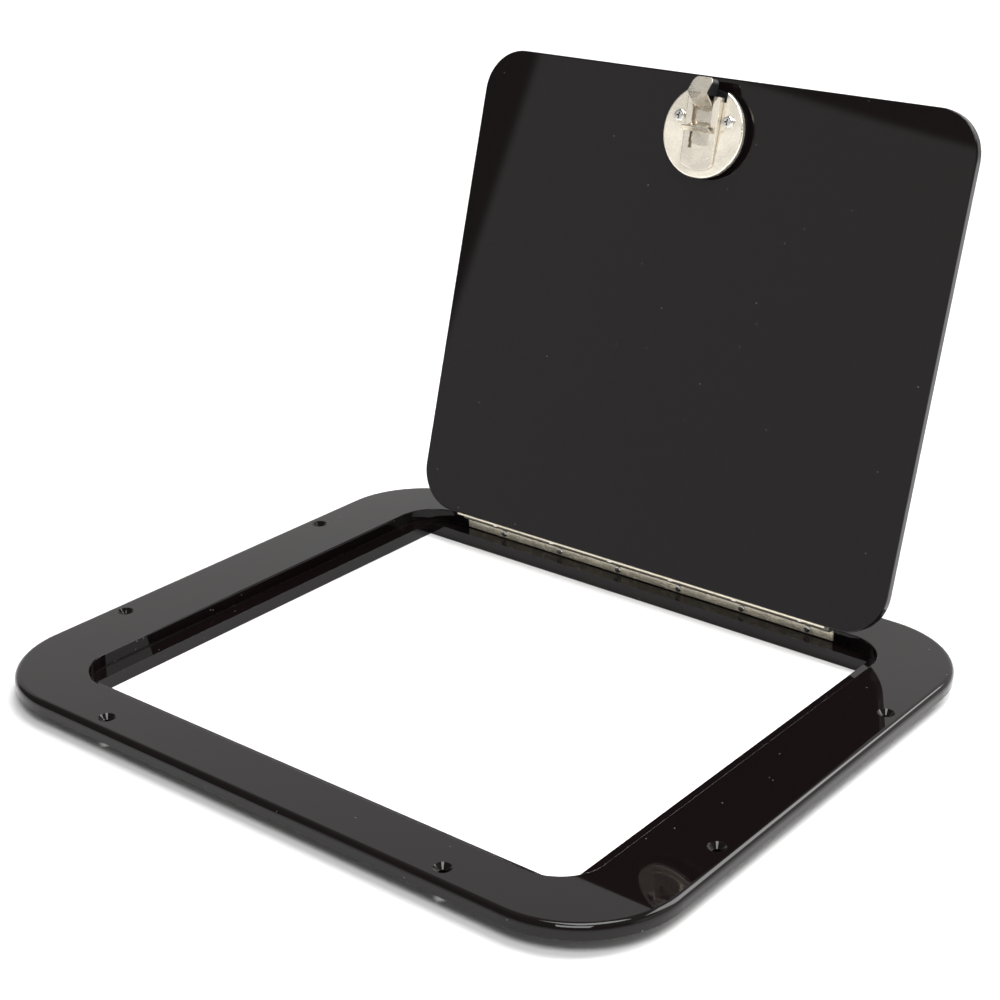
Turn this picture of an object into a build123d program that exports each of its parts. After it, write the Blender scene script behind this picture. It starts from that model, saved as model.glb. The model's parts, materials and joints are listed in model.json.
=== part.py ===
"""Flush deck hatch: bolt-down frame, lift-up lid on a piano hinge, slam latch.

Everything on the lid is drawn as it lies with the lid shut, then swung about the hinge pin to
the open stop. +X runs along the hinge, +Y towards it, +Z up out of the deck. The origin is the
centre of the opening, on the deck: the plane of the flange's underside.
"""
from build123d import *
import os

# ---- driving dimensions, mm -------------------------------------------------------------------
SHEET = 9.5              # frame, ledge and lid are all cut from one sheet
OPEN_X = 420.0           # clear opening in the flange
OPEN_Y = 376.0
OPEN_R = 32.0
BORDER_SIDE = 53.0       # flange width at the left and right
BORDER_END = 41.0        # flange width at the hinge and the latch side
FLANGE_R = 72.0          # outer corner radius
FLANGE_ROUND = 4.5       # rounded top edge of the flange
SHARP_BREAK = 0.6        # softened sharp edge

DECK_HOLE_R = 2.6
DECK_SINK_R = 5.75
SIDE_HOLE_X, SIDE_HOLE_Y = 250.0, 101.5
END_HOLE_X, END_HOLE_Y = 140.5, 215.5

LEDGE_REACH = 13.0       # how far the ledge stands into the opening
LEDGE_UNDER_X = 22.0     # how far it runs back under the flange
LEDGE_UNDER_Y = 18.0
LEDGE_CORNER = 20.0

LID_X = 411.0
LID_Y = 361.0
LID_R = 32.0
LID_ROUND = 4.0          # rounded edge of the outer face
LID_BREAK = 1.0          # softened edge of the inner face
SEAT_GAP = 0.1           # lid to ledge, shut
OPEN_ANGLE = 105.0       # open stop, from shut

PIN_R = 1.4
PIN_FIT = 0.05           # running clearance of the hinge pin, on the radius
KNUCKLE_R = 2.8
PIN_Y = 182.9
PIN_Z = 11.9
LEAF = 1.2               # hinge leaf thickness
LEAF_FOOT = 0.8          # leaf's lower edge
LEAF_BEND_Z = 7.6        # where the frame's leaf leaves the wall to reach the pin
HINGE_X = -1.7           # middle of the hinge
HINGE_LENGTH = 330.0
KNUCKLES = 30
KNUCKLE_GAP = 0.3        # along the pin, between neighbours
HINGE_SCREWS = 6
HINGE_SCREW_START = 36.0
HINGE_SCREW_PITCH = 54.7
HINGE_SCREW_Z = 4.3
HINGE_SCREW_R = 1.1
HINGE_HEAD_R = 2.6
HINGE_HEAD_H = 1.2
HINGE_SCREW_LENGTH = 9.0

LATCH_INSET = 39.5       # latch centre, back from the lid's free edge
BODY_R = 30.8            # black moulded latch body
BODY_WALL = 2.6
BODY_DEPTH = 8.0         # how far the body stands below the lid
DISH_R = 36.0            # outer pull dish
DISH_SHEET = 1.2
DISH_BOWL_R = 28.0
DISH_DEPTH = 8.4
GASKET = 1.0
BACK_PLATE_R = 33.0
BACK_PLATE_SKIRT = 2.2
NOTCH_X = 31.0           # notch in the back plate for the bolt's nose
NOTCH_DEPTH = 11.0
LATCH_SCREW_X = 20.1
LATCH_SCREW_Y = -9.0     # from the latch centre
LATCH_SCREW_R = 2.0
LATCH_HEAD_R = 4.5
LATCH_HEAD_H = 2.6

BOLT_SHEET = 1.0
BOLT_X = 15.4
BOLT_FIT = 0.2           # bolt to back plate
BOLT_TRAVEL = 7.0
TAB_X = 16.0
LIP_X = 22.0             # thumb lip across the tab's top
CATCH_DROP = 10.0        # catch face, below the lid
GUIDE_X = 27.0
GUIDE_SHEET = 1.2
GUIDE_SLOT_X = 16.6
GUIDE_ROUND = 1.0
GUIDE_SAG = 4.4          # depth of the arc across the guide's tail
GUIDE_CORNER = 3.4

PIVOT_Y = -10.0          # pull handle's pin, from the latch centre
PIVOT_Z = 5.6
HANDLE_PIN_R = 1.25
HANDLE_X = 20.0
HANDLE_SHEET = 1.6
HANDLE_REACH = 24.0      # handle's free end, from its pin
HANDLE_BACK = 4.0
CRANK_X = 6.0
CRANK_SHEET = 2.5
CRANK_DROP = 12.0
FORK_GAP = 5.4
FORK_SHEET = 1.5
SPRING_WIRE_R = 0.35     # handle's return spring
SPRING_R = 1.65
BOLT_SPRING_WIRE_R = 0.35
BOLT_SPRING_R = 1.6
SLOT_HALF = 21.0         # half the slot in the latch body that the bolt's lugs run in

# ---- worked out -------------------------------------------------------------------------------
FLANGE_X = OPEN_X + 2 * BORDER_SIDE
FLANGE_Y = OPEN_Y + 2 * BORDER_END
WALL_Y = OPEN_Y / 2
LEDGE_BOTTOM = -SHEET
LEDGE_IN_X = OPEN_X / 2 - LEDGE_REACH
LEDGE_IN_Y = OPEN_Y / 2 - LEDGE_REACH
LEDGE_OUT_X = OPEN_X / 2 + LEDGE_UNDER_X
LEDGE_OUT_Y = OPEN_Y / 2 + LEDGE_UNDER_Y

LID_UNDER = SEAT_GAP
LID_OUTER = LID_UNDER + SHEET
LID_HINGE_Y = PIN_Y - KNUCKLE_R
LID_FREE_Y = LID_HINGE_Y - LID_Y
LID_MID_Y = LID_HINGE_Y - LID_Y / 2
LATCH_Y = LID_FREE_Y + LATCH_INSET
HINGE_START = HINGE_X - HINGE_LENGTH / 2
SCREW_X = [HINGE_START + HINGE_SCREW_START + i * HINGE_SCREW_PITCH for i in range(HINGE_SCREWS)]

BODY_FOOT = LID_UNDER - BODY_DEPTH
DISH_RIM = LID_OUTER - DISH_SHEET
DISH_FLOOR = LID_OUTER - DISH_DEPTH
POCKET_TOP = DISH_FLOOR - 0.4
PLATE_FOOT = BODY_FOOT - DISH_SHEET
BOLT_TOP = PLATE_FOOT - BOLT_FIT
PIVOT_AT_Y = LATCH_Y + PIVOT_Y

SHUT = Location()
OPEN = Location((0, PIN_Y, PIN_Z), (-OPEN_ANGLE, 0, 0)) * Location((0, -PIN_Y, -PIN_Z))


def save(builder, node, pose=SHUT):
    """Label a finished piece, put it at its place and write its STEP file."""
    piece = builder.part.moved(pose)
    piece.label = node
    export_step(piece, f"parts/{node}.step")


def below_lid(inset, drop):
    """Side-view point: inset from the lid's free edge, drop below the lid's inner face."""
    return (LID_FREE_Y + inset, LID_UNDER - drop)


def cross(size, width):
    """Cross-recess outline of a screw head, at the current locations."""
    Rectangle(size, width)
    Rectangle(width, size)


os.makedirs("parts", exist_ok=True)

# ---- frame plate: flange with the opening, countersunk for eight deck screws ------------------
with BuildPart() as frame_plate:
    with BuildSketch():
        RectangleRounded(FLANGE_X, FLANGE_Y, FLANGE_R)
    extrude(amount=SHEET)
    fillet(edges().group_by(Axis.Z)[-1], FLANGE_ROUND)
    fillet(edges().group_by(Axis.Z)[0], SHARP_BREAK)
    with BuildSketch():
        RectangleRounded(OPEN_X, OPEN_Y, OPEN_R)
    extrude(amount=SHEET, mode=Mode.SUBTRACT)
    mouth = edges().group_by(Axis.Z)[-1].filter_by(
        lambda edge: abs(edge.center().X) < OPEN_X / 2 + 1 and abs(edge.center().Y) < OPEN_Y / 2 + 1)
    fillet(mouth, SHARP_BREAK)
    with Locations(Location((0, 0, SHEET))):
        with GridLocations(2 * SIDE_HOLE_X, 2 * SIDE_HOLE_Y, 2, 2):
            CounterSinkHole(DECK_HOLE_R, DECK_SINK_R, counter_sink_angle=90)
        with GridLocations(2 * END_HOLE_X, 2 * END_HOLE_Y, 2, 2):
            CounterSinkHole(DECK_HOLE_R, DECK_SINK_R, counter_sink_angle=90)
    with BuildSketch(Plane.XZ.offset(-WALL_Y)):
        with Locations(*[(x, HINGE_SCREW_Z) for x in SCREW_X]):
            Circle(HINGE_SCREW_R + PIN_FIT)
    extrude(amount=-HINGE_SCREW_LENGTH, mode=Mode.SUBTRACT)
save(frame_plate, "frame_plate")

# ---- ledge: four strips bonded under the flange, butted at the corners ------------------------
side_width = LEDGE_OUT_X - LEDGE_IN_X
end_width = LEDGE_OUT_Y - LEDGE_IN_Y
STRIPS = {
    "ledge_left": (-LEDGE_IN_X - side_width / 2, 0, side_width, 2 * LEDGE_OUT_Y),
    "ledge_right": (LEDGE_IN_X + side_width / 2, 0, side_width, 2 * LEDGE_OUT_Y),
    "ledge_front": (0, -LEDGE_IN_Y - end_width / 2, 2 * LEDGE_IN_X, end_width),
    "ledge_back": (0, LEDGE_IN_Y + end_width / 2, 2 * LEDGE_IN_X, end_width),
}
for node, (x, y, width, length) in STRIPS.items():
    with BuildPart() as strip:
        with BuildSketch(Plane.XY.offset(LEDGE_BOTTOM)):
            with Locations((x, y)):
                Rectangle(width, length)
            if length > width:
                outer = vertices().group_by(Axis.X)[0 if x < 0 else -1]
                fillet(outer, LEDGE_CORNER)
        extrude(amount=SHEET)
    save(strip, node)

# ---- piano hinge ------------------------------------------------------------------------------
KNUCKLE_PITCH = HINGE_LENGTH / KNUCKLES


def hinge_leaf(own, profile, seat_y):
    """Leaf of the given side-view profile, with every second knuckle from number own."""
    with BuildPart() as leaf:
        with BuildSketch(Plane.YZ.offset(HINGE_START)):
            with BuildLine():
                Polyline(*profile, close=True)
            make_face()
        extrude(amount=HINGE_LENGTH)
        with BuildSketch(Plane.XZ.offset(-seat_y - 2 * LEAF)):
            with Locations(*[(x, HINGE_SCREW_Z) for x in SCREW_X]):
                Circle(HINGE_SCREW_R + 2 * PIN_FIT)
        extrude(amount=4 * LEAF, mode=Mode.SUBTRACT)
        for number in range(KNUCKLES):
            start = HINGE_START + number * KNUCKLE_PITCH
            if number % 2 == own:
                with BuildSketch(Plane.YZ.offset(start + KNUCKLE_GAP / 2)):
                    with Locations((PIN_Y, PIN_Z)):
                        Circle(KNUCKLE_R)
                extrude(amount=KNUCKLE_PITCH - KNUCKLE_GAP)
            else:
                with BuildSketch(Plane.YZ.offset(start - KNUCKLE_GAP / 2)):
                    with Locations((PIN_Y, PIN_Z)):
                        Circle(KNUCKLE_R + KNUCKLE_GAP)
                extrude(amount=KNUCKLE_PITCH + KNUCKLE_GAP, mode=Mode.SUBTRACT)
        with BuildSketch(Plane.YZ.offset(HINGE_START)):
            with Locations((PIN_Y, PIN_Z)):
                Circle(PIN_R + PIN_FIT)
        extrude(amount=HINGE_LENGTH, mode=Mode.SUBTRACT)
    return leaf


def hinge_screws(seat_y, inward):
    """Six small pan-head screws, heads on the leaf at seat_y, shanks towards inward."""
    with BuildPart() as screws:
        with BuildSketch(Plane.XZ.offset(-seat_y)) as heads:
            with Locations(*[(x, HINGE_SCREW_Z) for x in SCREW_X]):
                Circle(HINGE_HEAD_R)
        extrude(amount=inward * HINGE_HEAD_H)
        crowns = edges().group_by(Axis.Y)[-1 if inward < 0 else 0]
        fillet(crowns, HINGE_HEAD_H / 2)
        with BuildSketch(Plane.XZ.offset(-seat_y)):
            with Locations(*[(x, HINGE_SCREW_Z) for x in SCREW_X]):
                Circle(HINGE_SCREW_R)
        extrude(amount=-inward * (HINGE_SCREW_LENGTH - LEAF))
        with BuildSketch(Plane.XZ.offset(-seat_y + inward * HINGE_HEAD_H)):
            with Locations(*[(x, HINGE_SCREW_Z) for x in SCREW_X]):
                cross(2 * HINGE_HEAD_R * 0.6, 0.6)
        extrude(amount=-inward * HINGE_HEAD_H / 2, mode=Mode.SUBTRACT)
    return screws


FRAME_LEAF_Y = WALL_Y - LEAF
LID_LEAF_Y = LID_HINGE_Y + LEAF
FRAME_PROFILE = [(WALL_Y, LEAF_FOOT), (WALL_Y, LEAF_BEND_Z), (PIN_Y + KNUCKLE_R, PIN_Z),
                 (PIN_Y + KNUCKLE_R - LEAF, PIN_Z), (FRAME_LEAF_Y, LEAF_BEND_Z), (FRAME_LEAF_Y, LEAF_FOOT)]
LID_PROFILE = [(LID_HINGE_Y, LEAF_FOOT), (LID_HINGE_Y, PIN_Z), (LID_LEAF_Y, PIN_Z), (LID_LEAF_Y, LEAF_FOOT)]
save(hinge_leaf(0, FRAME_PROFILE, FRAME_LEAF_Y), "hinge_frame_leaf")
save(hinge_leaf(1, LID_PROFILE, LID_LEAF_Y), "hinge_lid_leaf", OPEN)
save(hinge_screws(FRAME_LEAF_Y, 1), "hinge_frame_screws")
save(hinge_screws(LID_LEAF_Y, -1), "hinge_lid_screws", OPEN)

with BuildPart() as hinge_pin:
    with BuildSketch(Plane.YZ.offset(HINGE_START)):
        with Locations((PIN_Y, PIN_Z)):
            Circle(PIN_R)
    extrude(amount=HINGE_LENGTH)
save(hinge_pin, "hinge_pin")

# ---- lid --------------------------------------------------------------------------------------
with BuildPart() as lid:
    with BuildSketch(Plane.XY.offset(LID_UNDER)):
        with Locations((0, LID_MID_Y)):
            RectangleRounded(LID_X, LID_Y, LID_R)
    extrude(amount=SHEET)
    fillet(edges().group_by(Axis.Z)[-1], LID_ROUND)
    fillet(edges().group_by(Axis.Z)[0], LID_BREAK)
    with Locations((0, LATCH_Y, LID_OUTER)):
        CounterBoreHole(BODY_R + 0.2, DISH_R + 0.3, DISH_SHEET + GASKET)
    with BuildSketch(Plane.XZ.offset(-LID_HINGE_Y)):
        with Locations(*[(x, HINGE_SCREW_Z) for x in SCREW_X]):
            Circle(HINGE_SCREW_R + PIN_FIT)
    extrude(amount=HINGE_SCREW_LENGTH, mode=Mode.SUBTRACT)
save(lid, "lid", OPEN)

# ---- latch: moulded body, outer dish, gasket --------------------------------------------------
with BuildPart() as latch_body:
    with BuildSketch(Plane.XY.offset(BODY_FOOT)):
        with Locations((0, LATCH_Y)):
            Circle(BODY_R)
    extrude(amount=DISH_RIM - BODY_FOOT)
    with BuildSketch(Plane.XY.offset(POCKET_TOP)):
        with Locations((0, LATCH_Y)):
            Circle(BODY_R - BODY_WALL)
    extrude(amount=DISH_RIM - POCKET_TOP, mode=Mode.SUBTRACT)
    with BuildSketch(Plane.XY.offset(BODY_FOOT)):
        with Locations((0, LATCH_Y)):
            RectangleRounded(1.6 * CRANK_X, 2 * SLOT_HALF, 1)
        with Locations((LATCH_SCREW_X, LATCH_Y + LATCH_SCREW_Y), (-LATCH_SCREW_X, LATCH_Y + LATCH_SCREW_Y)):
            Circle(LATCH_SCREW_R + PIN_FIT)
    extrude(amount=POCKET_TOP - BODY_FOOT, mode=Mode.SUBTRACT)
save(latch_body, "latch_body", OPEN)

with BuildPart() as latch_gasket:
    with BuildSketch(Plane.XY.offset(DISH_RIM - GASKET)):
        with Locations((0, LATCH_Y)):
            Circle(DISH_R)
            Circle(BODY_R + 0.4, mode=Mode.SUBTRACT)
    extrude(amount=GASKET)
save(latch_gasket, "latch_gasket", OPEN)

EAR_X = HANDLE_X / 2 + 0.4
EAR_TOP = PIVOT_Z + HANDLE_PIN_R + 0.6
CRANK_SWEEP = 3.4        # how far the crank travels at the dish floor
with BuildPart() as latch_dish:
    with BuildSketch(Plane.XY.offset(DISH_RIM)):
        with Locations((0, LATCH_Y)):
            Circle(DISH_R)
    extrude(amount=DISH_SHEET)
    fillet(edges().group_by(Axis.Z)[-1], DISH_SHEET * 0.6)
    with BuildSketch(Plane.XY.offset(DISH_FLOOR)):
        with Locations((0, LATCH_Y)):
            Circle(DISH_BOWL_R)
    extrude(amount=DISH_RIM - DISH_FLOOR)
    fillet(edges().group_by(Axis.Z)[0], DISH_SHEET)
    with BuildSketch(Plane.XY.offset(DISH_FLOOR + DISH_SHEET)):
        with Locations((0, LATCH_Y)):
            Circle(DISH_BOWL_R - DISH_SHEET)
    extrude(amount=DISH_DEPTH, mode=Mode.SUBTRACT)
    with BuildSketch(Plane.XY.offset(DISH_FLOOR)):
        with Locations((0, PIVOT_AT_Y + (CRANK_SWEEP / 2))):
            RectangleRounded(CRANK_X + 1.5, CRANK_SHEET + CRANK_SWEEP + 1.6, 1.5)
    extrude(amount=DISH_SHEET, mode=Mode.SUBTRACT)
    for side in (-1, 1):
        with BuildSketch(Plane.YZ.offset(side * (EAR_X + DISH_SHEET / 2) - DISH_SHEET / 2)):
            with Locations((PIVOT_AT_Y, (DISH_FLOOR + EAR_TOP) / 2)):
                Rectangle(5, EAR_TOP - DISH_FLOOR)
            with Locations((PIVOT_AT_Y, PIVOT_Z)):
                Circle(HANDLE_PIN_R + PIN_FIT, mode=Mode.SUBTRACT)
        extrude(amount=DISH_SHEET)
save(latch_dish, "latch_dish", OPEN)

# ---- latch: pull handle with its crank, pin and torsion spring --------------------------------
HANDLE_TOP = LID_OUTER - 0.3
BARREL_R = HANDLE_TOP - HANDLE_SHEET / 2 - PIVOT_Z
with BuildPart() as handle:
    with BuildSketch(Plane.XY.offset(HANDLE_TOP - HANDLE_SHEET)):
        with Locations((0, PIVOT_AT_Y + (HANDLE_REACH - HANDLE_BACK) / 2)):
            Rectangle(HANDLE_X, HANDLE_REACH + HANDLE_BACK)
        fillet(vertices().group_by(Axis.Y)[-1], HANDLE_X * 0.35)
        fillet(vertices().group_by(Axis.Y)[0], 2)
    extrude(amount=HANDLE_SHEET)
    fillet(edges().group_by(Axis.Z)[-1], SHARP_BREAK)
    with BuildSketch(Plane.YZ.offset(-HANDLE_X / 2)):
        with Locations((PIVOT_AT_Y, PIVOT_Z)):
            Circle(BARREL_R)
    extrude(amount=HANDLE_X / 2 + CRANK_X / 2)
    with BuildSketch(Plane.YZ.offset(-CRANK_X / 2)):
        with Locations((PIVOT_AT_Y, PIVOT_Z - CRANK_DROP / 2)):
            Rectangle(CRANK_SHEET, CRANK_DROP)
        fillet(vertices().group_by(Axis.Y)[0], CRANK_SHEET * 0.4)
    extrude(amount=CRANK_X)
    with BuildSketch(Plane.YZ.offset(-HANDLE_X / 2)):
        with Locations((PIVOT_AT_Y, PIVOT_Z)):
            Circle(HANDLE_PIN_R + PIN_FIT)
    extrude(amount=HANDLE_X, mode=Mode.SUBTRACT)
save(handle, "pull_handle", OPEN)

PIN_REACH = EAR_X + DISH_SHEET
with BuildPart() as handle_pin:
    with BuildSketch(Plane.YZ.offset(-PIN_REACH)):
        with Locations((PIVOT_AT_Y, PIVOT_Z)):
            Circle(HANDLE_PIN_R)
    extrude(amount=2 * PIN_REACH)
save(handle_pin, "handle_pin", OPEN)

SPRING_START = CRANK_X / 2 + 1.0
SPRING_LENGTH = HANDLE_X / 2 - SPRING_START - 1.0
with BuildPart() as handle_spring:
    with BuildLine() as wire:
        Helix(SPRING_WIRE_R * 2.6, SPRING_LENGTH, SPRING_R, center=(SPRING_START, PIVOT_AT_Y, PIVOT_Z),
              direction=(1, 0, 0))
    with BuildSketch(Plane(origin=wire.line @ 0, z_dir=wire.line % 0)):
        Circle(SPRING_WIRE_R)
    sweep(is_frenet=True)
save(handle_spring, "handle_spring", OPEN)

# ---- latch: back plate, bolt guide, bolt ------------------------------------------------------
FORK_SPAN = FORK_GAP + 2 * FORK_SHEET
with BuildPart() as back_plate:
    with BuildSketch(Plane.XY.offset(PLATE_FOOT)):
        with Locations((0, LATCH_Y)):
            Circle(BACK_PLATE_R)
    extrude(amount=DISH_SHEET + BACK_PLATE_SKIRT)
    fillet(edges().group_by(Axis.Z)[0], DISH_SHEET)
    with BuildSketch(Plane.XY.offset(BODY_FOOT)):
        with Locations((0, LATCH_Y)):
            Circle(BACK_PLATE_R - DISH_SHEET)
    extrude(amount=BACK_PLATE_SKIRT, mode=Mode.SUBTRACT)
    with BuildSketch(Plane.XY.offset(PLATE_FOOT)):
        with Locations((0, LATCH_Y - BACK_PLATE_R)):
            Rectangle(NOTCH_X, 2 * NOTCH_DEPTH)
        with Locations((0, PIVOT_AT_Y + BOLT_TRAVEL / 2)):
            Rectangle(CRANK_X + 1.2, FORK_SPAN + BOLT_TRAVEL + 0.6)
        with Locations((LATCH_SCREW_X, LATCH_Y + LATCH_SCREW_Y), (-LATCH_SCREW_X, LATCH_Y + LATCH_SCREW_Y)):
            Circle(LATCH_SCREW_R + 0.1)
    extrude(amount=DISH_SHEET + BACK_PLATE_SKIRT, mode=Mode.SUBTRACT)
save(back_plate, "back_plate", OPEN)

GUIDE_HEAD = 14.5        # guide's open end, from the lid's free edge
GUIDE_TAIL = 67.3
GUIDE_RISE_HEAD = 15.2   # guide's crown at its open end, below the lid
GUIDE_RISE_TAIL = 10.8
GUIDE_SLOT_TAIL = 52.0


def guide_wedge(inset, drop_in):
    """Sloping block under the lid, the guide's outside or, drawn inset, its inside."""
    half = GUIDE_X / 2 - inset
    tail = LID_FREE_Y + GUIDE_TAIL - inset
    head = LID_FREE_Y + GUIDE_HEAD
    with BuildPart() as wedge:
        with BuildSketch(Plane.XY.offset(PLATE_FOOT - CATCH_DROP)):
            with BuildLine():
                Polyline((-half, tail - GUIDE_SAG), (-half, head), (half, head), (half, tail - GUIDE_SAG))
                ThreePointArc((half, tail - GUIDE_SAG), (0, tail), (-half, tail - GUIDE_SAG))
            make_face()
            fillet(vertices().group_by(Axis.Y)[-1], GUIDE_CORNER - inset)
        extrude(amount=CATCH_DROP)
        with BuildSketch(Plane.YZ.offset(-GUIDE_X)):
            with BuildLine():
                Polyline(below_lid(GUIDE_HEAD, BODY_DEPTH), below_lid(GUIDE_TAIL, BODY_DEPTH),
                         below_lid(GUIDE_TAIL, GUIDE_RISE_TAIL - drop_in),
                         below_lid(GUIDE_HEAD, GUIDE_RISE_HEAD - drop_in), close=True)
            make_face()
        extrude(amount=2 * GUIDE_X, mode=Mode.INTERSECT)
    return wedge.part


with BuildPart() as bolt_guide:
    add(guide_wedge(0, 0))
    fillet(faces().sort_by(Axis.Z)[0].edges().sort_by(Axis.Y)[1:], GUIDE_ROUND)
    add(guide_wedge(GUIDE_SHEET, GUIDE_SHEET), mode=Mode.SUBTRACT)
    with BuildSketch(Plane.XY.offset(PLATE_FOOT - CATCH_DROP)):
        with Locations((0, LID_FREE_Y + GUIDE_SLOT_TAIL / 2)):
            Rectangle(GUIDE_SLOT_X, GUIDE_SLOT_TAIL)
    extrude(amount=CATCH_DROP, mode=Mode.SUBTRACT)
save(bolt_guide, "bolt_guide", OPEN)

BOLT_DROP = LID_UNDER - BOLT_TOP + BOLT_SHEET
BOLT_ROOT, BOLT_TAIL = 25.0, 49.0
LUG_RISE = 6.4           # bolt's lugs, up through the back plate
NOSE_PEAK = (13.4, 26.0)
NOSE_TIP = (2.0, 18.6)
NOSE_CORNER = 5.0
PAD_FACE = 2.6
TAB_ROOT, TAB_PEAK, TAB_LIP = (33.0, BOLT_DROP), (37.6, 21.0), (40.4, 15.6)


def bent_sheet(*points):
    """Closed side-view outline of sheet bent through points, thickness towards the lid."""
    path = [Vector(*below_lid(*point)) for point in points]
    runs = [(end - start).normalized() for start, end in zip(path, path[1:])]
    sides = [Vector(-run.Y, run.X) * -BOLT_SHEET for run in runs]
    inner = [path[0] + sides[0]]
    for point, before, after in zip(path[1:], sides, sides[1:]):
        inner.append(point + (before + after) / (1 + before.dot(after) / BOLT_SHEET ** 2))
    inner.append(path[-1] + sides[-1])
    return path + inner[::-1]


with BuildPart() as bolt:
    with BuildSketch(Plane.YZ.offset(-BOLT_X / 2)):
        with BuildLine():
            Polyline(*bent_sheet((BOLT_TAIL, BOLT_DROP), (BOLT_ROOT, BOLT_DROP), NOSE_PEAK, NOSE_TIP),
                     close=True)
        make_face()
    extrude(amount=BOLT_X)
    with BuildSketch(Plane.XY.offset(PLATE_FOOT - NOSE_PEAK[1])):
        with Locations((0, LID_FREE_Y + (NOSE_TIP[0] + BOLT_TAIL) / 2)):
            RectangleRounded(BOLT_X, BOLT_TAIL - NOSE_TIP[0] + 1, NOSE_CORNER)
    extrude(amount=NOSE_PEAK[1], mode=Mode.INTERSECT)
    with BuildSketch(Plane.YZ.offset(-TAB_X / 2)):
        with BuildLine():
            Polyline(*bent_sheet(TAB_LIP, TAB_PEAK, TAB_ROOT), close=True)
        make_face()
    extrude(amount=TAB_X)
    with BuildSketch(Plane.YZ.offset(-LIP_X / 2)):
        with BuildLine():
            Polyline(*bent_sheet(TAB_LIP, TAB_PEAK), close=True)
        make_face()
    extrude(amount=LIP_X)
    for step in (-1, 1):
        with BuildSketch(Plane.YZ.offset(-CRANK_X / 2)):
            with Locations((PIVOT_AT_Y + step * (FORK_GAP + FORK_SHEET) / 2, BOLT_TOP + LUG_RISE / 2 - 0.6)):
                Rectangle(FORK_SHEET, LUG_RISE + 1.2)
        extrude(amount=CRANK_X)
save(bolt, "bolt", OPEN)

SPRING_Y = PIVOT_AT_Y + FORK_GAP / 2 + FORK_SHEET
SPRING_END = LATCH_Y + SLOT_HALF
with BuildPart() as bolt_spring:
    with BuildLine() as coil:
        Helix((SPRING_END - SPRING_Y - BOLT_SPRING_WIRE_R * 2 - 0.2) / 9, SPRING_END - SPRING_Y
              - BOLT_SPRING_WIRE_R * 2 - 0.2, BOLT_SPRING_R,
              center=(0, SPRING_Y + BOLT_SPRING_WIRE_R + 0.1, BOLT_TOP + LUG_RISE - BOLT_SPRING_R - 0.4),
              direction=(0, 1, 0))
    with BuildSketch(Plane(origin=coil.line @ 0, z_dir=coil.line % 0)):
        Circle(BOLT_SPRING_WIRE_R)
    sweep(is_frenet=True)
save(bolt_spring, "bolt_spring", OPEN)

with BuildPart() as bolt_pad:
    with BuildSketch(Plane.YZ.offset(-BOLT_X / 2 + 0.5)):
        with BuildLine():
            Polyline(below_lid(PAD_FACE, CATCH_DROP), below_lid(14.0, CATCH_DROP), below_lid(14.0, 21.8),
                     below_lid(12.2, 23.9), below_lid(PAD_FACE, 17.6), close=True)
        make_face()
    extrude(amount=BOLT_X - 1)
    with BuildSketch(Plane.XY.offset(PLATE_FOOT - NOSE_PEAK[1])):
        with Locations((0, LID_FREE_Y + (NOSE_TIP[0] + BOLT_TAIL) / 2)):
            RectangleRounded(BOLT_X - 1, BOLT_TAIL - NOSE_TIP[0], NOSE_CORNER - 0.5)
    extrude(amount=NOSE_PEAK[1], mode=Mode.INTERSECT)
save(bolt_pad, "bolt_pad", OPEN)

with BuildPart() as latch_screws:
    screw_spots = [(side * LATCH_SCREW_X, LATCH_Y + LATCH_SCREW_Y) for side in (-1, 1)]
    with BuildSketch(Plane.XY.offset(PLATE_FOOT - LATCH_HEAD_H)):
        with Locations(*screw_spots):
            Circle(LATCH_HEAD_R)
    extrude(amount=LATCH_HEAD_H)
    fillet(edges().group_by(Axis.Z)[0], LATCH_HEAD_H * 0.6)
    with BuildSketch(Plane.XY.offset(PLATE_FOOT)):
        with Locations(*screw_spots):
            Circle(LATCH_SCREW_R)
    extrude(amount=BODY_DEPTH)
    with BuildSketch(Plane.XY.offset(PLATE_FOOT - LATCH_HEAD_H)):
        with Locations(*screw_spots):
            cross(LATCH_HEAD_R, 1.1)
    extrude(amount=LATCH_HEAD_H * 0.6, mode=Mode.SUBTRACT)
save(latch_screws, "latch_screws", OPEN)
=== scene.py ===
"""Studio model of a flush deck hatch: glossy frame and lid, piano hinge and slam latch."""
import json
import logging
from dataclasses import dataclass, field
from enum import Enum

import bmesh
import bpy
from mathutils import Matrix, Vector


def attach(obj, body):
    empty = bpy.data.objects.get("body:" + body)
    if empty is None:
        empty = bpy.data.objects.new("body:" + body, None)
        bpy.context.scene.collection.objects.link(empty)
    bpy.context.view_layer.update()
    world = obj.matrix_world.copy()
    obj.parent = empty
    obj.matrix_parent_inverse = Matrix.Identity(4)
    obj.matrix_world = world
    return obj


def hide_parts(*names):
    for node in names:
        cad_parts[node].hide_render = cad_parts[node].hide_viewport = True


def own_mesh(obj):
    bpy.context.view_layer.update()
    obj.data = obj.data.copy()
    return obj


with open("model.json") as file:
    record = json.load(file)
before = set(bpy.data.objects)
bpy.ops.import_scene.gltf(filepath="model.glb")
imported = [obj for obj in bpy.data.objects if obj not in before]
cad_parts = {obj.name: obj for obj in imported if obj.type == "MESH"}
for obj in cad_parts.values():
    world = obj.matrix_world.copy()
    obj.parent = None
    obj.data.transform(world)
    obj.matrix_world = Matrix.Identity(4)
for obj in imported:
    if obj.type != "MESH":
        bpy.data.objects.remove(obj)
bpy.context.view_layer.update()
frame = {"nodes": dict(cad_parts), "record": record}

LOG = logging.getLogger("deck_hatch")
MM = 0.001
DUST_COLOUR = (0.34, 0.33, 0.32)
# Colour of the painted shade laid where pieces meet and in crevices.
CREVICE_SHADE_COLOUR = (0.006, 0.0055, 0.005)
# Colour of the painted shade on a band round the hinge's knuckles.
KNUCKLE_SHADE_COLOUR = (0.01, 0.009, 0.008)


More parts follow.
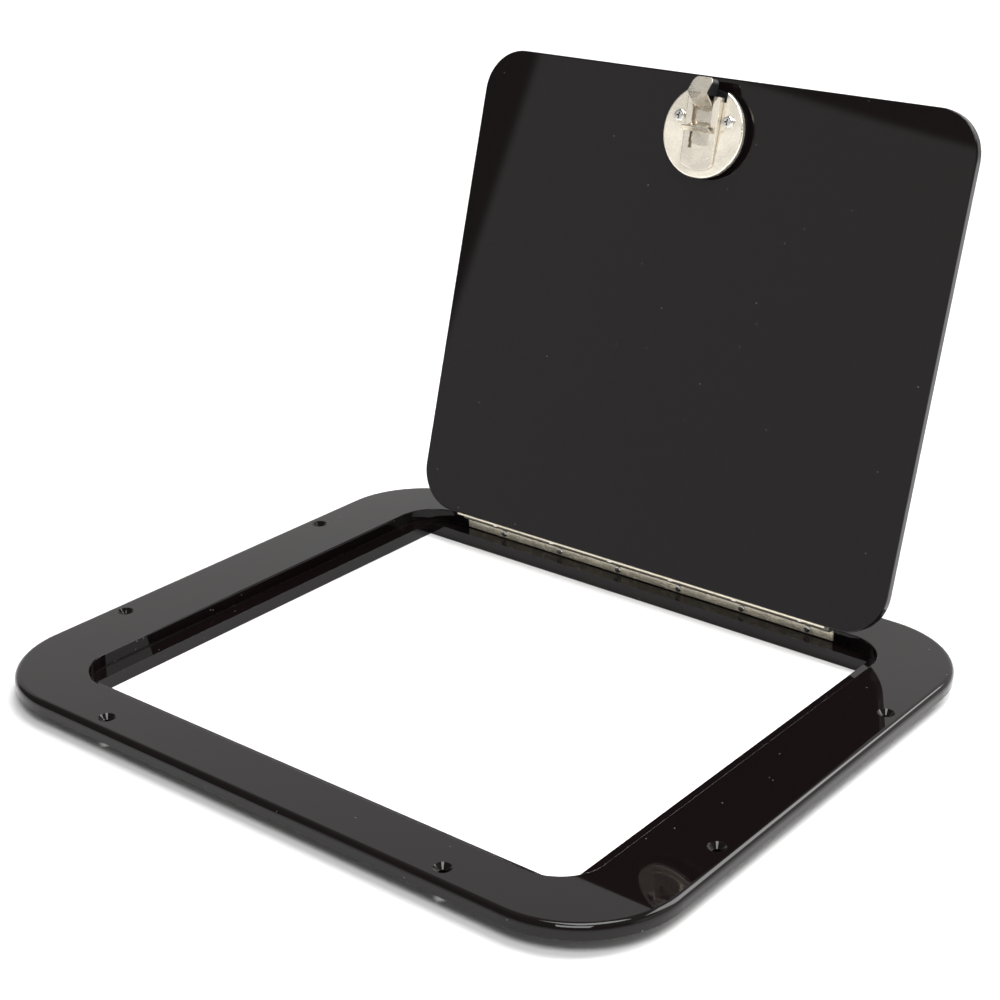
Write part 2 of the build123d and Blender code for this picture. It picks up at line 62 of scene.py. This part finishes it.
class Slot(Enum):
    """Finishes that the record names."""

    SHEET = "gloss_sheet"
    STAINLESS = "stainless"
    LATCH_STEEL = "stainless_latch"
    SPRING = "spring_steel"
    NYLON = "black_nylon"
    GASKET = "gasket_rubber"


class Graph:
    """Small helper that adds and links the nodes of one shader tree."""

    def __init__(self, tree: bpy.types.NodeTree) -> None:
        """Keeps the tree that nodes go into.

        Args:
            tree: the material's or group's node tree.
        """
        self.tree = tree

    def add(self, kind: str, **settings: object) -> bpy.types.Node:
        """Adds a node.

        Args:
            kind: the node's Blender type.
            settings: its properties.

        Returns:
            The new node.
        """
        node = self.tree.nodes.new(kind)
        for name, value in settings.items():
            setattr(node, name, value)
        return node

    def feed(self, socket: bpy.types.NodeSocket, source: object) -> None:
        """Links a socket to a source, or sets it to a plain value.

        Args:
            socket: the input to feed.
            source: an output socket or a value.
        """
        if isinstance(source, bpy.types.NodeSocket):
            self.tree.links.new(source, socket)
        else:
            socket.default_value = source

    def math(self, operation: str, first: object, second: object = 0.0) -> bpy.types.NodeSocket:
        """Adds a clamped Math node.

        Args:
            operation: Blender's name of the operation.
            first: the first value.
            second: the second value.

        Returns:
            The result.
        """
        node = self.add("ShaderNodeMath", operation=operation, use_clamp=True)
        self.feed(node.inputs[0], first)
        self.feed(node.inputs[1], second)
        return node.outputs[0]

    def noise(self, where: object, scale: object, detail: float = 2.0,
              distortion: float = 0.0) -> bpy.types.NodeSocket:
        """Adds a noise texture.

        Args:
            where: the coordinates.
            scale: cells per metre, as a value or a socket.
            detail: octaves.
            distortion: how much the cells are warped.

        Returns:
            The noise value.
        """
        node = self.add("ShaderNodeTexNoise")
        self.feed(node.inputs["Vector"], where)
        self.feed(node.inputs["Scale"], scale)
        node.inputs["Detail"].default_value = detail
        node.inputs["Distortion"].default_value = distortion
        return node.outputs[0]

    def ramp(self, value: object, low: float, high: float, start: float = 0.0,
             end: float = 1.0) -> bpy.types.NodeSocket:
        """Maps a range of values smoothly to another.

        Args:
            value: the value to map.
            low: where the result is start.
            high: where the result is end.
            start: the first result.
            end: the last result.

        Returns:
            The mapped value.
        """
        node = self.add("ShaderNodeMapRange", interpolation_type="SMOOTHSTEP")
        self.feed(node.inputs["Value"], value)
        node.inputs["From Min"].default_value = low
        node.inputs["From Max"].default_value = high
        node.inputs["To Min"].default_value = start
        node.inputs["To Max"].default_value = end
        return node.outputs[0]

    def blend(self, mask: object, first: object, second: object) -> bpy.types.NodeSocket:
        """Mixes two plain values.

        Args:
            mask: 0 for the first, 1 for the second.
            first: the first value.
            second: the second value.

        Returns:
            The mixed value.
        """
        node = self.add("ShaderNodeMix", data_type="FLOAT")
        self.feed(node.inputs[0], mask)
        self.feed(node.inputs[2], first)
        self.feed(node.inputs[3], second)
        return node.outputs[0]

    def grey(self, value: bpy.types.NodeSocket) -> bpy.types.NodeSocket:
        """Makes a grey of a value.

        Args:
            value: how bright the grey is.

        Returns:
            The colour.
        """
        node = self.add("ShaderNodeCombineColor")
        for socket in node.inputs[:3]:
            self.feed(socket, value)
        return node.outputs[0]

    def over(self, under: object, mask: bpy.types.NodeSocket,
             colour: tuple[float, float, float]) -> bpy.types.NodeSocket:
        """Lays a plain colour over another through a mask.

        Args:
            under: the colour below.
            mask: how much of the top shows.
            colour: the colour on top.

        Returns:
            The mixed colour.
        """
        node = self.add("ShaderNodeMix", data_type="RGBA")
        self.feed(node.inputs[0], mask)
        self.feed(node.inputs[6], under)
        self.feed(node.inputs[7], (*colour, 1.0))
        return node.outputs[2]


def effect_group(name: str, inputs: dict[str, float], outputs: list[str]) -> tuple[
        bpy.types.NodeTree, Graph, bpy.types.Node, bpy.types.Node]:
    """Starts a node group with a Vector input and named value sockets.

    Args:
        name: the group's name.
        inputs: the value inputs with their defaults.
        outputs: the value outputs.

    Returns:
        The group, its graph, its input node and its output node.
    """
    group = bpy.data.node_groups.new(name, "ShaderNodeTree")
    group.interface.new_socket("Vector", in_out="INPUT", socket_type="NodeSocketVector")
    for label, value in inputs.items():
        socket = group.interface.new_socket(label, in_out="INPUT", socket_type="NodeSocketFloat")
        socket.default_value = value
    for label in outputs:
        group.interface.new_socket(label, in_out="OUTPUT", socket_type="NodeSocketFloat")
    graph = Graph(group)
    return group, graph, graph.add("NodeGroupInput"), graph.add("NodeGroupOutput")


def dust_group() -> bpy.types.NodeTree:
    """Specks of dust that have settled on a surface.

    Returns:
        A group with the mask of the specks.
    """
    group, graph, taken, given = effect_group(
        "settled_dust", {"Scale": 260.0, "Size": 0.05, "Amount": 0.3}, ["Specks"])
    cells = graph.add("ShaderNodeTexVoronoi", feature="F1")
    graph.feed(cells.inputs["Vector"], taken.outputs["Vector"])
    graph.feed(cells.inputs["Scale"], taken.outputs["Scale"])
    near = graph.math("LESS_THAN", cells.outputs["Distance"], taken.outputs["Size"])
    split = graph.add("ShaderNodeSeparateColor")
    graph.feed(split.inputs[0], cells.outputs["Color"])
    chosen = graph.math("LESS_THAN", split.outputs[0], taken.outputs["Amount"])
    graph.feed(given.inputs["Specks"], graph.math("MULTIPLY", near, chosen))
    return group


def grain_group() -> bpy.types.NodeTree:
    """Fine parallel scratches left by brushing or rolling along X.

    Returns:
        A group with the height of the grain.
    """
    group, graph, taken, given = effect_group("brushed_grain", {"Scale": 900.0, "Stretch": 0.02}, ["Grain"])
    mapping = graph.add("ShaderNodeMapping")
    graph.feed(mapping.inputs["Vector"], taken.outputs["Vector"])
    combine = graph.add("ShaderNodeCombineXYZ")
    graph.feed(combine.inputs[0], taken.outputs["Stretch"])
    combine.inputs[1].default_value = 1.0
    combine.inputs[2].default_value = 1.0
    graph.feed(mapping.inputs["Scale"], combine.outputs[0])
    graph.feed(given.inputs["Grain"], graph.noise(mapping.outputs[0], taken.outputs["Scale"], 4.0))
    return group


def wiped_group() -> bpy.types.NodeTree:
    """Broad soft patches where a polished surface was wiped.

    Returns:
        A group with the patches' strength.
    """
    group, graph, taken, given = effect_group("wiped_patches", {"Scale": 9.0}, ["Patches"])
    noise = graph.noise(taken.outputs["Vector"], taken.outputs["Scale"], 5.0, 0.6)
    graph.feed(given.inputs["Patches"], graph.ramp(noise, 0.35, 0.7))
    return group


def edge_group() -> bpy.types.NodeTree:
    """Wear and a painted highlight along a piece's edges, broken up by noise.

    Returns:
        A group with the mask of the worn and highlit edges.
    """
    group, graph, taken, given = effect_group("worn_and_highlit_edges", {"Radius": 0.0006, "Scale": 300.0}, ["Worn"])
    rounded = graph.add("ShaderNodeBevel", samples=4)
    graph.feed(rounded.inputs["Radius"], taken.outputs["Radius"])
    flat = graph.add("ShaderNodeNewGeometry")
    turn = graph.add("ShaderNodeVectorMath", operation="DOT_PRODUCT")
    graph.feed(turn.inputs[0], rounded.outputs[0])
    graph.feed(turn.inputs[1], flat.outputs["Normal"])
    edge = graph.ramp(turn.outputs["Value"], 0.985, 0.86)
    broken = graph.ramp(graph.noise(taken.outputs["Vector"], taken.outputs["Scale"], 3.0), 0.4, 0.62)
    graph.feed(given.inputs["Worn"], graph.math("MULTIPLY", edge, broken))
    return group


def crevice_group() -> bpy.types.NodeTree:
    """Painted shade where pieces meet and in crevices, found by ambient occlusion and broken up by noise.

    Returns:
        A group with the mask of the painted shade.
    """
    group, graph, taken, given = effect_group("crevice_painted_shade", {"Reach": 0.003, "Scale": 200.0}, ["Grime"])
    open_sky = graph.add("ShaderNodeAmbientOcclusion", samples=8)
    graph.feed(open_sky.inputs["Distance"], taken.outputs["Reach"])
    shut_in = graph.ramp(open_sky.outputs["AO"], 0.72, 0.28)
    patchy = graph.ramp(graph.noise(taken.outputs["Vector"], taken.outputs["Scale"]), 0.2, 0.6, 0.75, 1.0)
    graph.feed(given.inputs["Grime"], graph.math("MULTIPLY", shut_in, patchy))
    return group


@dataclass(frozen=True)
class Finish:
    """One finish: its colour, gloss and surface detail."""

    slot: Slot
    colour: tuple[float, float, float]
    gloss: tuple[float, float]
    name: str = ""
    metal: float = 0.0
    index: float = 1.5
    wiped_scale: float = 9.0
    wiped_share: float = 0.25
    wiped_darker: float = 0.8
    dust: float = 0.0
    dust_size: float = 0.055
    dust_scale: float = 300.0
    dust_cover: float = 0.4
    dust_roughness: float = 0.7
    # The edge settings lighten the colour along edges: partly wear, partly a painted highlight.
    edge_wear_and_highlight: float = 0.0
    edge_wear_and_highlight_colour: tuple[float, float, float] = (0.3, 0.3, 0.3)
    edge_mark_scale: float = 260.0
    edge_mark_roughness: float = 0.3
    # The crevice settings paint shade into the colour where pieces meet.
    crevice: float = 0.0
    crevice_reach: float = 3 * MM
    crevice_roughness: float = 0.6
    # These settings paint shade on a band of the hinge's knuckles, laid out by height at rest.
    knuckle_shade: float = 0.0
    knuckle_shade_foot: tuple[float, float] = (8.6 * MM, 9.4 * MM)
    knuckle_shade_top: tuple[float, float] = (13.8 * MM, 12.8 * MM)
    grain: float = 0.0
    grain_scale: float = 900.0
    grain_depth: float = 0.1 * MM
    grain_spread: float = 0.05
    stretch: float = 1.0

    @property
    def label(self) -> str:
        """Gives the material's name."""
        return self.name or self.slot.value

    def build(self, groups: dict[str, bpy.types.NodeTree]) -> bpy.types.Material:
        """Makes the material.

        Args:
            groups: the shared effect groups by name.

        Returns:
            The new material.
        """
        material = bpy.data.materials.new(self.label)
        material.use_nodes = True
        graph = Graph(material.node_tree)
        shader = material.node_tree.nodes["Principled BSDF"]
        where = graph.add("ShaderNodeTexCoord").outputs["Object"]
        patches = self._place(graph, groups["wiped_patches"], where, Scale=self.wiped_scale)
        rough = graph.ramp(patches, 0.0, 1.0, *self.gloss)
        colour = graph.over((*self.colour, 1.0), graph.math("MULTIPLY", patches, self.wiped_share),
                            tuple(channel * self.wiped_darker for channel in self.colour))
        if self.dust:
            specks = self._place(graph, groups["settled_dust"], where, Scale=self.dust_scale,
                                 Size=self.dust_size, Amount=self.dust)
            colour = graph.over(colour, graph.math("MULTIPLY", specks, self.dust_cover), DUST_COLOUR)
            rough = self._rougher(graph, rough, specks, self.dust_roughness)
        # Along edges the colour is lightened: partly wear, partly a painted highlight.
        if self.edge_wear_and_highlight:
            edges = self._place(graph, groups["worn_and_highlit_edges"], where, Scale=self.edge_mark_scale)
            colour = graph.over(colour, graph.math("MULTIPLY", edges, self.edge_wear_and_highlight), self.edge_wear_and_highlight_colour)
            rough = self._rougher(graph, rough, edges, self.edge_mark_roughness)
        # Painted shade: darkens the colour where ambient occlusion finds crevices and meeting pieces.
        if self.crevice:
            crevice_shade = self._place(graph, groups["crevice_painted_shade"], where, Reach=self.crevice_reach)
            colour = graph.over(colour, graph.math("MULTIPLY", crevice_shade, self.crevice), CREVICE_SHADE_COLOUR)
            rough = self._rougher(graph, rough, crevice_shade, self.crevice_roughness)
        # Painted shade on a band round the hinge's knuckles, by height.
        if self.knuckle_shade:
            colour = graph.over(colour, self._knuckle_shade_band(graph, where), KNUCKLE_SHADE_COLOUR)
        if self.grain:
            rough = self._grained(graph, groups["brushed_grain"], where, shader, rough)
        graph.feed(shader.inputs["Base Color"], colour)
        graph.feed(shader.inputs["Roughness"], rough)
        shader.inputs["Metallic"].default_value = self.metal
        shader.inputs["IOR"].default_value = self.index
        return material

    def _knuckle_shade_band(self, graph: Graph, where: bpy.types.NodeSocket) -> bpy.types.NodeSocket:
        """Marks the painted shade on a band round the hinge's knuckles, laid out by height at rest.

        Args:
            graph: the material's graph.
            where: the coordinates.

        Returns:
            The mask of the painted shade.
        """
        parts = graph.add("ShaderNodeSeparateXYZ")
        graph.feed(parts.inputs[0], where)
        above = graph.ramp(parts.outputs[2], *self.knuckle_shade_foot)
        below = graph.ramp(parts.outputs[2], *self.knuckle_shade_top)
        return graph.math("MULTIPLY", graph.math("MULTIPLY", above, below), self.knuckle_shade)

    def _grained(self, graph: Graph, group: bpy.types.NodeTree, where: bpy.types.NodeSocket,
                 shader: bpy.types.Node, rough: bpy.types.NodeSocket) -> bpy.types.NodeSocket:
        """Adds the grain's bump and its streaks of gloss.

        Args:
            graph: the material's graph.
            group: the grain.
            where: the coordinates.
            shader: the material's shader.
            rough: the roughness so far.

        Returns:
            The streaked roughness.
        """
        grain = self._place(graph, group, where, Scale=self.grain_scale, Stretch=self.stretch)
        bump = graph.add("ShaderNodeBump")
        bump.inputs["Strength"].default_value = self.grain
        bump.inputs["Distance"].default_value = self.grain_depth
        graph.feed(bump.inputs["Height"], grain)
        graph.feed(shader.inputs["Normal"], bump.outputs[0])
        spread = graph.ramp(grain, 0.3, 0.7, -self.grain_spread, self.grain_spread)
        return graph.math("ADD", rough, spread)

    @staticmethod
    def _rougher(graph: Graph, rough: bpy.types.NodeSocket, mask: bpy.types.NodeSocket,
                 limit: float) -> bpy.types.NodeSocket:
        """Dulls a surface where a mask covers it.

        Args:
            graph: the material's graph.
            rough: the roughness so far.
            mask: what covers the surface.
            limit: the roughness where it is covered.

        Returns:
            The new roughness.
        """
        return graph.math("MAXIMUM", rough, graph.math("MULTIPLY", mask, limit))

    @staticmethod
    def _place(graph: Graph, group: bpy.types.NodeTree, where: bpy.types.NodeSocket,
               **values: float) -> bpy.types.NodeSocket:
        """Places an effect group with its own values.

        Args:
            graph: the material's graph.
            group: the effect.
            where: the coordinates.
            values: the group's inputs.

        Returns:
            The effect.
        """
        node = graph.add("ShaderNodeGroup", node_tree=group)
        graph.feed(node.inputs["Vector"], where)
        for name, value in values.items():
            node.inputs[name].default_value = value
        return node.outputs[0]


# In these finishes the crevice and knuckle-band settings paint shade into the colour, and the edge settings
# paint partly wear, partly a highlight along edges.
FINISHES = (
    Finish(Slot.SHEET, (0.0050, 0.0032, 0.0034), (0.006, 0.024), index=1.33, dust=0.012, dust_size=0.13,
           wiped_scale=7.0, edge_wear_and_highlight=0.5, edge_wear_and_highlight_colour=(0.05, 0.05, 0.05), crevice=0.5, crevice_reach=0.004),
    Finish(Slot.STAINLESS, (1.0, 0.92, 0.74), (0.22, 0.30), metal=0.6, grain=0.08, grain_scale=2200.0,
           stretch=0.04, wiped_scale=60.0, crevice=0.85, crevice_reach=0.0016, knuckle_shade=0.9),
    Finish(Slot.STAINLESS, (0.78, 0.77, 0.74), (0.12, 0.22), metal=1.0, grain=0.1, grain_scale=2600.0,
           wiped_scale=90.0, crevice=1.0, crevice_reach=0.0016, name="screw_steel"),
    Finish(Slot.LATCH_STEEL, (1.0, 0.93, 0.80), (0.16, 0.26), metal=0.8, grain=0.06, grain_scale=1800.0,
           stretch=0.4, wiped_scale=45.0, crevice=0.9, crevice_reach=0.0022, edge_wear_and_highlight=0.5,
           edge_wear_and_highlight_colour=(1.0, 0.98, 0.94)),
    Finish(Slot.LATCH_STEEL, (0.80, 0.74, 0.64), (0.20, 0.32), metal=0.85, grain=0.12, grain_scale=2000.0,
           stretch=0.3, wiped_scale=60.0, crevice=1.0, crevice_reach=0.0026, edge_wear_and_highlight=0.8,
           edge_wear_and_highlight_colour=(1.0, 0.97, 0.9), name="pressed_steel"),
    Finish(Slot.LATCH_STEEL, (0.56, 0.545, 0.515), (0.14, 0.24), metal=1.0, grain=0.08, grain_scale=1800.0,
           stretch=0.2, wiped_scale=50.0, crevice=0.9, crevice_reach=0.003, edge_wear_and_highlight=0.4,
           edge_wear_and_highlight_colour=(0.75, 0.74, 0.72), name="dish_steel"),
    Finish(Slot.SPRING, (0.42, 0.42, 0.43), (0.25, 0.35), metal=1.0, grain=0.2, grain_scale=3000.0,
           wiped_scale=80.0),
    Finish(Slot.NYLON, (0.006, 0.006, 0.0065), (0.30, 0.42), index=1.4, dust=0.02, grain=0.35,
           grain_scale=2600.0, wiped_scale=30.0),
    Finish(Slot.GASKET, (0.014, 0.014, 0.014), (0.6, 0.72), grain=0.4, grain_scale=2000.0,
           wiped_scale=40.0),
)
OWN_FINISH = {
    "bolt_guide": "pressed_steel",
    "bolt": "pressed_steel",
    "latch_dish": "dish_steel",
    "pull_handle": "dish_steel",
    "latch_screws": "screw_steel",
    "hinge_frame_screws": "screw_steel",
    "hinge_lid_screws": "screw_steel",
    "hinge_pin": "screw_steel",
    "handle_pin": "screw_steel",
}


@dataclass
class Wardrobe:
    """All the finishes, built once and given to the pieces."""

    materials: dict[str, bpy.types.Material] = field(default_factory=dict)

    def build(self) -> None:
        """Builds every finish."""
        groups = {group.name: group for group in (
            dust_group(), grain_group(), wiped_group(), edge_group(), crevice_group())}
        for finish in FINISHES:
            self.materials[finish.label] = finish.build(groups)

    def dress(self, piece: bpy.types.Object, label: str) -> None:
        """Gives a piece its finish.

        Args:
            piece: the object.
            label: the finish's name.
        """
        if not piece.material_slots:
            piece.data.materials.append(self.materials[label])
        for held in piece.material_slots:
            held.link = "OBJECT"
            held.material = self.materials[label]

    def dress_frame(self) -> None:
        """Gives every CAD node the finish of the slot that the record names for it, or that finish's own
        variant for the node.
        """
        for row in frame["record"]["subparts"]:
            slot = Slot(row["material_slot"])
            self.dress(frame["nodes"][row["node"]], OWN_FINISH.get(row["node"], slot.value))
            LOG.info("dressed %s in %s", row["node"], row["material_slot"])


@dataclass
class BoltSpring:
    """Coil that returns the latch's bolt."""

    node: str = "bolt_spring"
    joint: str = "bolt_slide"
    body: str = "lid"
    weld: float = 0.000001

    def build(self, wardrobe: Wardrobe) -> bpy.types.Object:
        """Builds the coil in the place of its CAD node.

        Args:
            wardrobe: the finishes.

        Returns:
            The coil.
        """
        mesh = frame["nodes"][self.node].data.copy()
        shape = bmesh.new()
        shape.from_mesh(mesh)
        bmesh.ops.remove_doubles(shape, verts=shape.verts[:], dist=self.weld)
        for face in shape.faces:
            face.smooth = True
        shape.to_mesh(mesh)
        shape.free()
        mesh.name = "bolt_return_coil"
        coil = bpy.data.objects.new("bolt_return_coil", mesh)
        bpy.context.collection.objects.link(coil)
        wardrobe.dress(coil, Slot.SPRING.value)
        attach(coil, self.body)
        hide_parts(self.node)
        self._shorten(coil)
        LOG.info("built %s", coil.name)
        return coil

    def _shorten(self, coil: bpy.types.Object) -> None:
        """Reads the bolt's slide, finds the coil's vertex furthest along it and gives the coil its own copy
        of its mesh.

        Args:
            coil: the finished coil.
        """
        slide = next(row for row in frame["record"]["behaviour"]["joints"] if row["name"] == self.joint)
        axis = Vector(slide["axis"]).normalized()
        along = [vertex.co.dot(axis) for vertex in coil.data.vertices]
        fixed = coil.data.vertices[along.index(max(along))].co
        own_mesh(coil)


@dataclass(frozen=True)
class SoftBox:
    """One square area light."""

    name: str
    spot: tuple[float, float, float]
    aim: tuple[float, float, float]
    size: float
    power: float

    def hang(self) -> None:
        """Hangs the light, facing its aim."""
        data = bpy.data.lights.new(self.name, "AREA")
        data.size = self.size
        data.energy = self.power
        lamp = bpy.data.objects.new(self.name, data)
        lamp.location = self.spot
        lamp.rotation_euler = (Vector(self.aim) - Vector(self.spot)).to_track_quat("-Z", "Y").to_euler()
        bpy.context.collection.objects.link(lamp)


SOFT_BOXES = (
    SoftBox("top_box", (0.1, 0.3, 2.3), (0.0, 0.0, 0.0), 1.0, 34.0),
    SoftBox("back_box", (1.0, 1.5, 1.7), (0.0, 0.0, 0.0), 1.4, 50.0),
    SoftBox("front_box", (0.9, -1.2, 2.2), (0.0, 0.2, 0.2), 1.0, 36.0),
)


@dataclass
class Studio:
    """Pale floor, soft lights and the camera."""

    floor_z: float = -9.6 * MM
    floor_size: float = 40.0
    floor_shades: tuple[float, float] = (0.90, 0.94)
    glow_from: float = 0.9
    glow_full: float = 3.2
    glow: float = 0.6
    world_tint: tuple[float, float, float] = (1.0, 0.995, 0.985)
    panel_slope: float = 0.776
    panel_soft: float = 0.006
    panel_top: float = 0.264
    panel_top_soft: float = 0.004
    front_soft: float = 0.10
    front_dark: float = 0.2
    back_top: float = 0.56
    back_soft: float = 0.16
    overhead: float = 0.35
    camera_at: Vector = field(default_factory=lambda: Vector((0.75153, -0.94032, 0.62545)))
    forward: Vector = field(default_factory=lambda: Vector((-0.57135, 0.72610, -0.38253)))
    right: Vector = field(default_factory=lambda: Vector((0.78550, 0.61887, 0.00148)))
    lens: float = 71.12
    sensor: float = 36.0

    def build(self) -> None:
        """Builds the floor, the lights, the world and the camera."""
        self._floor()
        self._world()
        for box in SOFT_BOXES:
            box.hang()
        self._camera()

    def _floor(self) -> None:
        """Lays the pale floor under the hatch."""
        mesh = bpy.data.meshes.new("studio_floor")
        shape = bmesh.new()
        bmesh.ops.create_grid(shape, x_segments=1, y_segments=1, size=self.floor_size / 2,
                              matrix=Matrix.Translation((0, 0, self.floor_z)))
        shape.to_mesh(mesh)
        shape.free()
        floor = bpy.data.objects.new("studio_floor", mesh)
        bpy.context.collection.objects.link(floor)
        mesh.materials.append(self._floor_finish())

    def _floor_finish(self) -> bpy.types.Material:
        """Makes the floor's pale finish, which glows far from the hatch.

        Returns:
            The material.
        """
        material = bpy.data.materials.new("pale_floor")
        material.use_nodes = True
        graph = Graph(material.node_tree)
        shader = material.node_tree.nodes["Principled BSDF"]
        where = graph.add("ShaderNodeTexCoord").outputs["Object"]
        shade = graph.ramp(graph.noise(where, 1.5), 0.2, 0.8, *self.floor_shades)
        graph.feed(shader.inputs["Base Color"], graph.grey(shade))
        shader.inputs["Roughness"].default_value = 0.9
        shader.inputs["Specular IOR Level"].default_value = 0.1
        away = graph.add("ShaderNodeVectorMath", operation="LENGTH")
        graph.feed(away.inputs[0], where)
        glow = graph.ramp(away.outputs["Value"], self.glow_from, self.glow_full)
        graph.feed(shader.inputs["Emission Color"], graph.grey(glow))
        shader.inputs["Emission Strength"].default_value = self.glow
        return material

    def _world(self) -> None:
        """Surrounds the hatch with a pale studio, dark overhead and beside the front panel."""
        world = bpy.data.worlds.new("studio")
        world.use_nodes = True
        graph = Graph(world.node_tree)
        background = world.node_tree.nodes["Background"]
        towards = graph.add("ShaderNodeSeparateXYZ")
        graph.feed(towards.inputs[0], graph.add("ShaderNodeTexCoord").outputs["Generated"])
        east, north, up = towards.outputs
        front = graph.ramp(north, self.front_soft, -self.front_soft)
        beside = graph.add("ShaderNodeMath", operation="MULTIPLY_ADD")
        graph.feed(beside.inputs[0], north)
        beside.inputs[1].default_value = -self.panel_slope
        graph.feed(beside.inputs[2], east)
        inside = graph.ramp(beside.outputs[0], -self.panel_soft, self.panel_soft)
        below = graph.ramp(up, self.panel_top + self.panel_top_soft, self.panel_top - self.panel_top_soft)
        facing = graph.ramp(graph.math("MULTIPLY", inside, below), 0.0, 1.0, self.front_dark, 1.0)
        behind = graph.ramp(up, self.back_top + self.back_soft, self.back_top, self.overhead, 1.0)
        to_camera = graph.add("ShaderNodeLightPath").outputs["Is Camera Ray"]
        level = graph.blend(to_camera, graph.blend(front, behind, facing), 1.0)
        graph.feed(background.inputs[1], level)
        background.inputs[0].default_value = (*self.world_tint, 1.0)
        bpy.context.scene.world = world

    def _camera(self) -> None:
        """Sets the camera."""
        data = bpy.data.cameras.new("view")
        data.lens = self.lens
        data.sensor_width = self.sensor
        camera = bpy.data.objects.new("view", data)
        back = -self.forward.normalized()
        side = (self.right - self.right.dot(back) * back).normalized()
        up = back.cross(side)
        turn = Matrix((side, up, back)).transposed().to_4x4()
        camera.matrix_world = Matrix.Translation(self.camera_at) @ turn
        bpy.context.collection.objects.link(camera)
        bpy.context.scene.camera = camera


def main() -> None:
    """Builds the hatch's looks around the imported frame."""
    logging.basicConfig(level=logging.INFO, format="%(name)s: %(message)s")
    bpy.context.scene.view_settings.view_transform = "Standard"
    Studio().build()
    wardrobe = Wardrobe()
    wardrobe.build()
    wardrobe.dress_frame()
    BoltSpring().build(wardrobe)


if __name__ == "__main__":
    main()
